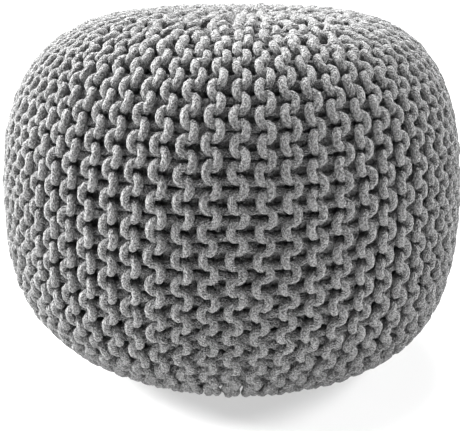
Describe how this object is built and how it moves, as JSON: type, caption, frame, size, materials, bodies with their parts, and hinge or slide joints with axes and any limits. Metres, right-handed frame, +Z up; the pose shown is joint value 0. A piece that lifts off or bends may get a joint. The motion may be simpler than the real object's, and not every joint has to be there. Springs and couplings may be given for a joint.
{
  "type": "knitted pouf",
  "caption": "Low round footstool cushion: a ridged chunky-knit cover, gathered at the top, tightly filled and standing on its own flat foot.",
  "frame": {"origin": "middle of the flat foot, on the floor", "axes": "+Z up through the gathered top; +X towards the side with the fuller shoulder, -Y towards the front"},
  "size_m": [0.508, 0.508, 0.3906],
  "materials": {
    "yarn": "thick soft grey cord yarn, matt, lightly fuzzy, knitted in raised ridges"
  },
  "bodies": {
    "root": {"knit_pouf": "yarn"}
  },
  "joints": []
}
